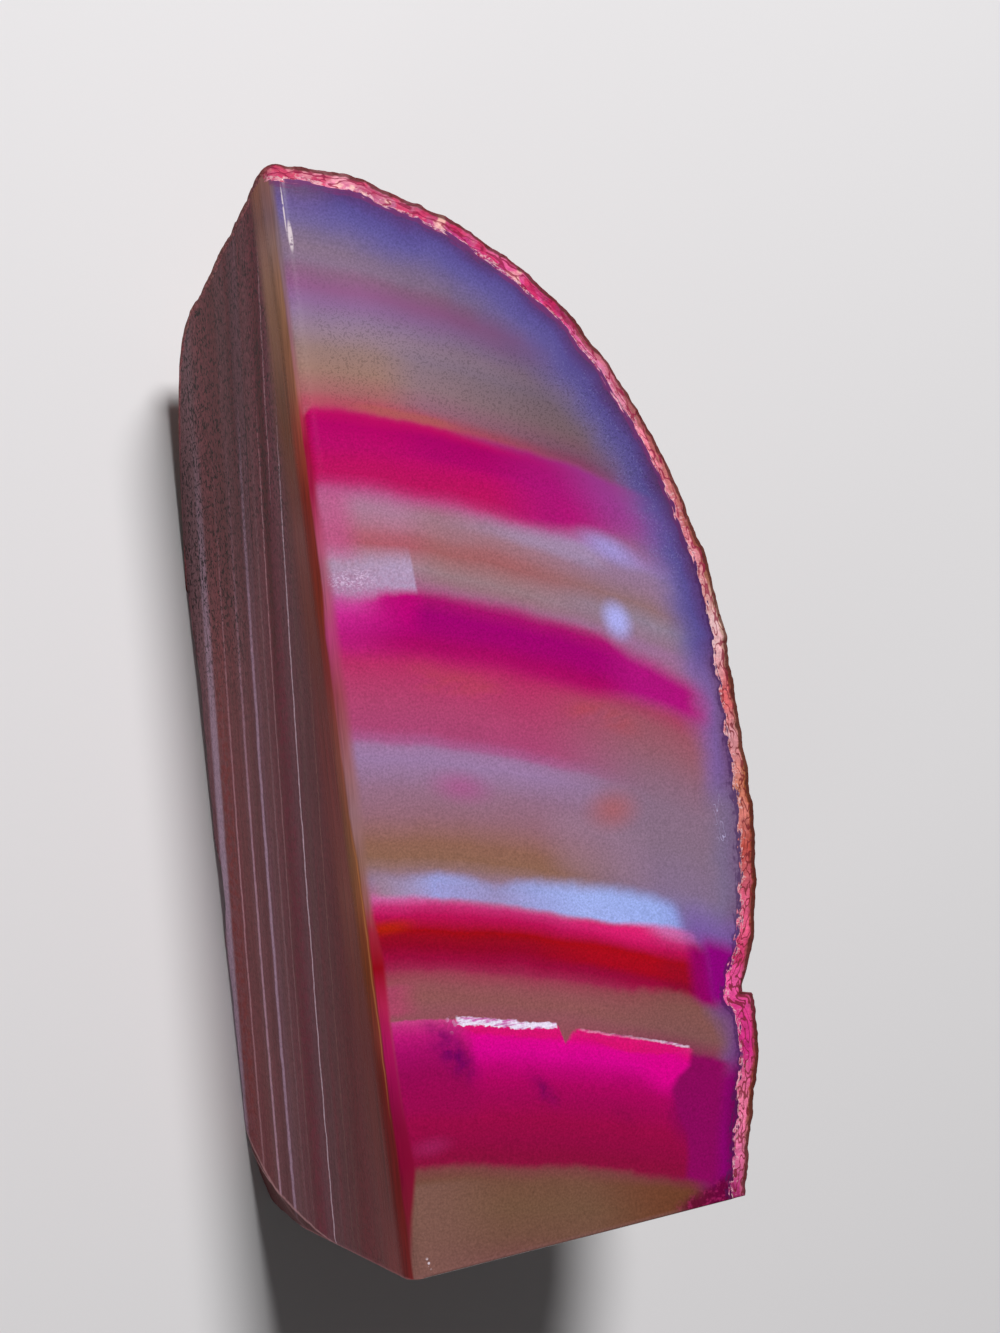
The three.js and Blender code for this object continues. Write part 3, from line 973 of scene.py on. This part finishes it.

# Next to the front edge the skin turns olive near the tip and red-brown below: partly its own layers, partly
# a painted glow of light let in through the front face.
NEAR_EDGE = skins((
    (0, 98, 52, 52), (10, 87, 48, 48), (20, 86, 46, 45), (30, 86, 44, 44), (40, 90, 47, 43), (50, 97, 56, 51),
    (60, 95, 50, 49), (70, 90, 45, 45), (80, 85, 45, 44), (90, 90, 48, 44), (100, 95, 57, 55),
    (105, 90, 52, 48), (110, 90, 54, 46), (115, 90, 55, 42), (120, 93, 62, 50), (125, 107, 74, 60),
    (130, 113, 80, 64), (135, 117, 85, 70), (140, 114, 82, 74), (144, 98, 67, 62), (150, 112, 70, 56),
))
edge_grain = grain((0.22, 26, 0.22), 2, 4)
near_edge = ramp(Y, NEAR_EDGE, Y_SPAN)
near_edge.shade(0.3 + edge_grain * 1.4)
raw.lay(near_edge, rise(OVER_EDGE, -10 + rise(Y, 116, 132) * 2.5, -4.5))

# The turn of the round edge: amber and red light in the stone.
TURN_OF_EDGE = skins((
    (0, 100, 42, 42), (10, 93, 37, 35), (20, 98, 38, 39), (26, 96, 40, 36), (32, 108, 52, 46),
    (40, 102, 54, 37), (46, 110, 60, 44), (51, 119, 74, 54), (56, 116, 77, 57), (62, 113, 70, 56),
    (70, 118, 68, 61), (80, 112, 50, 50), (90, 111, 48, 39), (100, 106, 47, 43), (105, 109, 45, 39),
    (110, 123, 56, 47), (115, 122, 64, 54), (120, 117, 77, 63), (125, 118, 81, 64), (130, 121, 87, 69),
    (135, 123, 90, 75), (140, 124, 96, 90), (144, 110, 84, 87), (150, 122, 84, 78),
), TURN_LIGHT)
edge = ramp(Y, TURN_OF_EDGE, Y_SPAN)
edge.shade(0.4 + edge_grain * 1.2)
raw.lay(edge, rise(OVER_EDGE, -3.6, -1.8))
front_line = OVER_EDGE + sway(0.5, (1.2, 5, 1.2), 2, 2) + within(Y, 58, 89, 8) * 0.6
raw.lay((196, 120, 70), within(front_line, -0.6, -0.35, 0.25) * within(Y, 24, 58, 12) * 0.5)

# Chipped corners: darker flakes, with pale painted highlights along their ridges where they meet the side cut
# and the base cut.
fine_noise = grain(1.1, 2, 5.8)
for _, y_cut, z_cut, bend in CORNER_FLAKES[:2]:
    past_ridge = 1 - calc("POWER", Y * (1 / y_cut), bend) - calc("POWER", Z * (1 / z_cut), bend)
    raw.lay(skin((58, 34, 34)), rise(past_ridge, 0, 0.03) * 0.8)
    # Painted highlight along the ridge of each flake.
    ridge_highlight = rise(calc("ABSOLUTE", past_ridge + (fine_noise - 0.5) * 0.05), 0.045, 0.012)
    raw.lay(skin((140, 104, 106)), ridge_highlight * rise(FRONT_DEPTH, 6, 9) * (0.2 + fine_noise))
bevel = rise(Y + X * 0.4, 0.45, 0.15)
raw.lay(skin((120, 82, 84)), bevel * rise(X, 3, 1) * 0.6)

# The front's dye starts at the turn, with a red margin beside its red bands.
MARGIN = (
    (0, 122, 60, 60), (8, 126, 28, 46), (15, 132, 8, 50), (20, 134, 10, 54), (26, 156, 12, 78),
    (31, 176, 20, 92), (36, 178, 34, 78), (41, 150, 8, 26), (46, 164, 38, 60), (49.6, 154, 94, 94),
    (55, 149, 105, 94), (62, 154, 111, 118), (66, 157, 107, 112), (70, 158, 97, 104), (74, 157, 82, 92),
    (78, 157, 70, 84), (82, 170, 66, 100), (86, 185, 66, 120), (90, 176, 82, 112), (94, 170, 93, 116),
    (98, 176, 80, 112), (102, 166, 54, 88), (106, 158, 26, 66), (112, 158, 14, 60), (116, 167, 50, 70),
    (120, 166, 105, 101), (130, 145, 103, 118), (140, 129, 104, 111), (150, 128, 96, 104),
)
MARGIN_REACH = (
    (0, 0.1), (8, 0.3), (14, 0.55), (22, 0.45), (34, 0.4), (42, 0.45), (48, 0.3), (52, 0.3), (66, 0.36),
    (90, 0.34), (106, 0.3), (115, 0.25), (118, 0.25), (150, 0.25),
)
margin_reach = curve(Y, MARGIN_REACH, Y_SPAN) * 5
margin_soft = 0.35 + within(Y, 52, 103, 6) * 0.4
margin = rise(X, margin_reach + margin_soft, margin_reach - margin_soft) * rise(margin_reach, 0.05, 0.5)
dyed.lay(ramp(Y, MARGIN, Y_SPAN), margin)
dyed.shade(1 + rise(OVER_EDGE, 1.8, 0) * (edge_grain - 0.5) * 0.9)
front_side = rise(front_line, -0.4, 0.15)
# A pale scratch on the round edge near the tip, partly a painted glint of light off the polished edge.
scratch_glint = spot(2.1, 144.6, 0.13, 4.6, 0.6) + spot(2.55, 140.8, 0.42, 2.6, 0.5)
dyed.lay((222, 206, 212), scratch_glint * rise(grain(0.7, 2, 1.9), 0.28, 0.46) * 0.85)

# ---- The crystalline rim and the rind.

OUTER_RIM = (
    (0, 197, 94, 109), (6, 224, 146, 164), (9, 190, 92, 122), (12, 198, 112, 140), (15, 172, 50, 94),
    (19, 200, 84, 128), (22, 214, 88, 138), (24, 178, 40, 100), (27, 152, 34, 84), (30, 138, 58, 70),
    (33, 196, 106, 126), (36, 150, 82, 86), (40, 152, 74, 74), (44, 184, 104, 102), (51, 134, 62, 52),
    (55, 142, 90, 72), (59, 206, 168, 152), (62, 160, 106, 100), (65, 124, 54, 36), (72, 156, 96, 88),
    (76, 162, 92, 62), (79, 138, 66, 28), (84, 116, 48, 22), (90, 114, 42, 26), (97, 132, 56, 44),
    (101, 160, 60, 78), (105, 210, 76, 130), (109, 154, 36, 74), (115, 138, 52, 50), (120, 136, 68, 40),
    (125, 180, 96, 110), (130, 180, 76, 116),
)
INNER_RIM = (
    (0, 206, 80, 120), (4, 206, 110, 140), (12, 166, 82, 122), (16, 182, 48, 114), (20, 198, 60, 128),
    (28, 196, 56, 120), (31, 206, 108, 150), (36, 204, 120, 146), (40, 220, 118, 136), (44, 202, 116, 128),
    (48, 190, 98, 112), (52, 198, 118, 128), (56, 190, 130, 128), (59, 204, 166, 168), (62, 206, 146, 152),
    (65, 190, 84, 88), (68, 200, 92, 94), (71, 196, 134, 142), (75, 192, 116, 118), (78, 190, 112, 86),
    (82, 186, 104, 98), (86, 166, 64, 54), (89, 172, 76, 80), (93, 200, 82, 114), (97, 206, 76, 114),
    (101, 178, 32, 88), (105, 230, 80, 152), (108, 206, 50, 126), (114, 190, 30, 116), (119, 226, 112, 146),
    (125, 226, 110, 156), (130, 158, 38, 100),
)
# Places along the rind, in from it and down from the front face, so that grain can run along the rim.
along_rim = combined(TURN, RIND_DEPTH, FRONT_DEPTH)
fibres = grain((2.6, 0.4, 0.8), 2, 1.2, along_rim)
ring_turn = TURN + sway(4, 3, 1, 5.2)
outer = ramp(ring_turn, OUTER_RIM, (0, 140))
inner = ramp(ring_turn, INNER_RIM, (0, 140))
sparkle = grain((0.55, 0.4, 0.55), 3, 6.4, roughness=0.7)
lumpy_depth = RIND_DEPTH + (fibres - 0.5) + sway(1.2, 1.6, 2, 8.8)
rim = paint(outer, inner, rise(lumpy_depth + rise(TURN, 50, 60) * 0.35, 0.75, 1.3))
patches = grain((1.9, 2.4, 3), 2, 4.7, along_rim)
near_tip = rise(TURN, 32, 24)
rim.lay((188, 12, 74), rise(patches, 0.51, 0.6) * near_tip * 0.7)
rim.lay((246, 206, 184), rise(patches, 0.44, 0.34) * near_tip * 0.6)
tone = shades((0.9, 0.7, 0.9), 4)
rim.shade((0.24 + tone * 0.24 + fibres * 0.7 + sparkle * 0.8) * (1 + within(TURN, 45, 100, 18) * 0.12))
chips = rise(grain((0.8, 0.5, 0.8), 2, 9), 0.58, 0.7) * rise(CRUST, 1.6, 0.4)
rim.lay((244, 212, 212), chips * (0.45 - within(TURN, 11, 30, 4) * 0.3))
rim.lay((138, 34, 102), rise(lumpy_depth, 1.5, 2.1) * within(TURN, 10, 31, 6) * 0.8)
rim.lay((172, 4, 84), rise(fibres, 0.47, 0.36) * 0.6 * rise(TURN, 50, 30))
veins = threads((2, 1.1, 2), 7.3, 0.045, 0.015, along_rim)
rim.lay(paint((140, 0, 58), (116, 24, 34), rise(TURN, 50, 75)), veins * 0.85)
outer_line = rise(RIND_DEPTH + sway(0.7, 1.3, 1, 3) - rise(TURN, 36, 50) * 0.12, 0.42, 0.12)
rim.lay((80, 32, 22), outer_line * 0.85)
knobs = crystals(1.7, 2)
rind_skin = paint((112, 58, 44), (158, 96, 76), rise(grain(7, 3, 5), 0.34, 0.72))
rind_skin.lay((128, 42, 66), rise(grain(11, 2, 7), 0.48, 0.66) * 0.7)
rind_skin.shade(0.45 + grain(1.3, 3, 2.4, roughness=0.65) * 1.1)
rind_skin.lay((60, 30, 26), rise(knobs, 0.45, 0.75) * 0.45)
rind_skin.lay((196, 150, 134), rise(knobs, 0.16, 0.04) * rise(grain(3.4, 2, 9.4), 0.5, 0.64) * 0.5)
rim.lay(rind_skin, rise(FRONT_DEPTH, 0.35, 1.2) * rise(RIND_DEPTH, 0.9, 0.3))
cut_face = rise(FRONT_DEPTH, 0.6, 2.2)
cut_rim = paint((96, 34, 34), (176, 104, 104), rise(sparkle, 0.45, 0.65))
rim.lay(cut_rim, cut_face * rise(RIND_DEPTH, 0.05, 0.2) * 0.8)

# How far into the crust: ragged on top, toothed with pale crystals further down, only a skin on the cuts.
tooth = crystals(0.8, 3) - 0.42
lumps = (tooth * 0.6 + sway(1.4, 1.5, 2, 5.1)) * rise(TURN, 46, 56)
teeth = lumps + (fibres - 0.5) * 2
crust_edge = CRUST + teeth - cut_face * rise(RIND_DEPTH, 0.1, 0.4) * (1.15 - rise(Y, 112, 124) * 0.2)
rim_shadow = paint((120, 48, 104), (64, 28, 80), rise(TURN, 40, 56))
dyed.lay(rim_shadow, within(crust_edge, -0.7, 0.1, 0.6) * 0.6)
crust_mask = rise(crust_edge, -0.08, 0.12)
fringe = within(crust_edge, 0, 0.35, 0.25) * (1 - cut_face) * rise(sparkle, 0.42, 0.58)
rim.lay((236, 200, 204), fringe * 0.6)

# ---- Surfaces: the matt side cut, the polished front face, and the rough rim and rind.


def surface(colour, roughness, bumps=None, coat=0.0):
    made = node("ShaderNodeBsdfPrincipled")
    feed(made.inputs["Base Color"], colour)
    made.inputs["Roughness"].default_value = roughness
    made.inputs["Coat Weight"].default_value = coat
    made.inputs["Coat Roughness"].default_value = 0.05
    made.inputs["IOR"].default_value = 1.54
    made.inputs["Specular IOR Level"].default_value = 0.2
    if bumps is not None:
        bump = node("ShaderNodeBump")
        bump.inputs["Strength"].default_value = 0.7
        bump.inputs["Distance"].default_value = 0.25 * MM
        feed(bump.inputs["Height"], bumps)
        feed(made.inputs["Normal"], bump.outputs[0])
    return made.outputs[0]


def mixed(mask, under, over):
    made = node("ShaderNodeMixShader")
    feed(made.inputs[0], mask)
    feed(made.inputs[1], under)
    feed(made.inputs[2], over)
    return made.outputs[0]


ROUGH, POLISHED = 0.66, 0.16
side_surface = surface(raw, ROUGH, (sandy * 0.15 - wriggle * 0.3) * rise(OVER_EDGE, -1, -3))
front_surface = surface(dyed, POLISHED, coat=0.4)
rim_surface = surface(rim, ROUGH, sparkle * 0.7 + fibres * 0.5 - knobs * 0.5)
output = node("ShaderNodeOutputMaterial")
feed(output.inputs["Surface"], mixed(crust_mask, mixed(front_side, side_surface, front_surface), rim_surface))
stone.data.materials.append(material)

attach(stone, "root")
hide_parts(SLICE)

# ---- Camera, floor and light.

scene = bpy.context.scene
scene.view_settings.view_transform = "Standard"

# The photo's camera, fixed by the three edges that meet at the corner of the front, side and base cuts.
camera_data = bpy.data.cameras.new("camera")
camera_data.lens = 54.0135
camera = placed("camera", camera_data)
camera.location = (-0.1346373, -0.0007325, 0.3040817)
right = Vector((0.88390947, -0.11203026, 0.45404105))
up = Vector((0.09165773, 0.99355327, 0.06671401))
back = Vector((-0.45858795, -0.01735277, 0.88847958))
turned = Matrix((right, up, back)).transposed().to_4x4()
camera.matrix_world = Matrix.Translation(camera.location) @ turned
scene.camera = camera

# The floor lies a hair below the stone, so that the two faces don't fight.
FLOOR_HALF, FLOOR_Z = 3.0, -0.00002
floor_mesh = bpy.data.meshes.new("floor")
floor_corners = [(x * FLOOR_HALF, y * FLOOR_HALF, FLOOR_Z) for x, y in ((-1, -1), (1, -1), (1, 1), (-1, 1))]
floor_mesh.from_pydata(floor_corners, [], [(0, 1, 2, 3)])
floor = placed("floor", floor_mesh)
floor_material = bpy.data.materials.new("floor")
floor_material.use_nodes = True
floor_shader = floor_material.node_tree.nodes["Principled BSDF"]
floor_shader.inputs["Base Color"].default_value = (0.74, 0.725, 0.735, 1)
floor_shader.inputs["Roughness"].default_value = 0.9
floor_mesh.materials.append(floor_material)


def area_light(name, direction, distance, size, power):
    data = bpy.data.lights.new(name, "AREA")
    data.shape = "DISK"
    data.size = size
    data.energy = power
    light = placed(name, data)
    away = Vector(direction).normalized()
    light.location = away * distance
    light.rotation_euler = away.to_track_quat("Z", "Y").to_euler()


area_light("key", (0.02, 0.55, 0.83), 1.2, 0.3, 15.5)
area_light("fill", (-0.75, -0.65, 0.2), 1.4, 0.5, 2.3)

world = bpy.data.worlds.new("studio")
scene.world = world
world.use_nodes = True
background = world.node_tree.nodes["Background"].inputs
background["Color"].default_value = (1, 1, 1, 1)
background["Strength"].default_value = 0.045

bpy.context.view_layer.update()
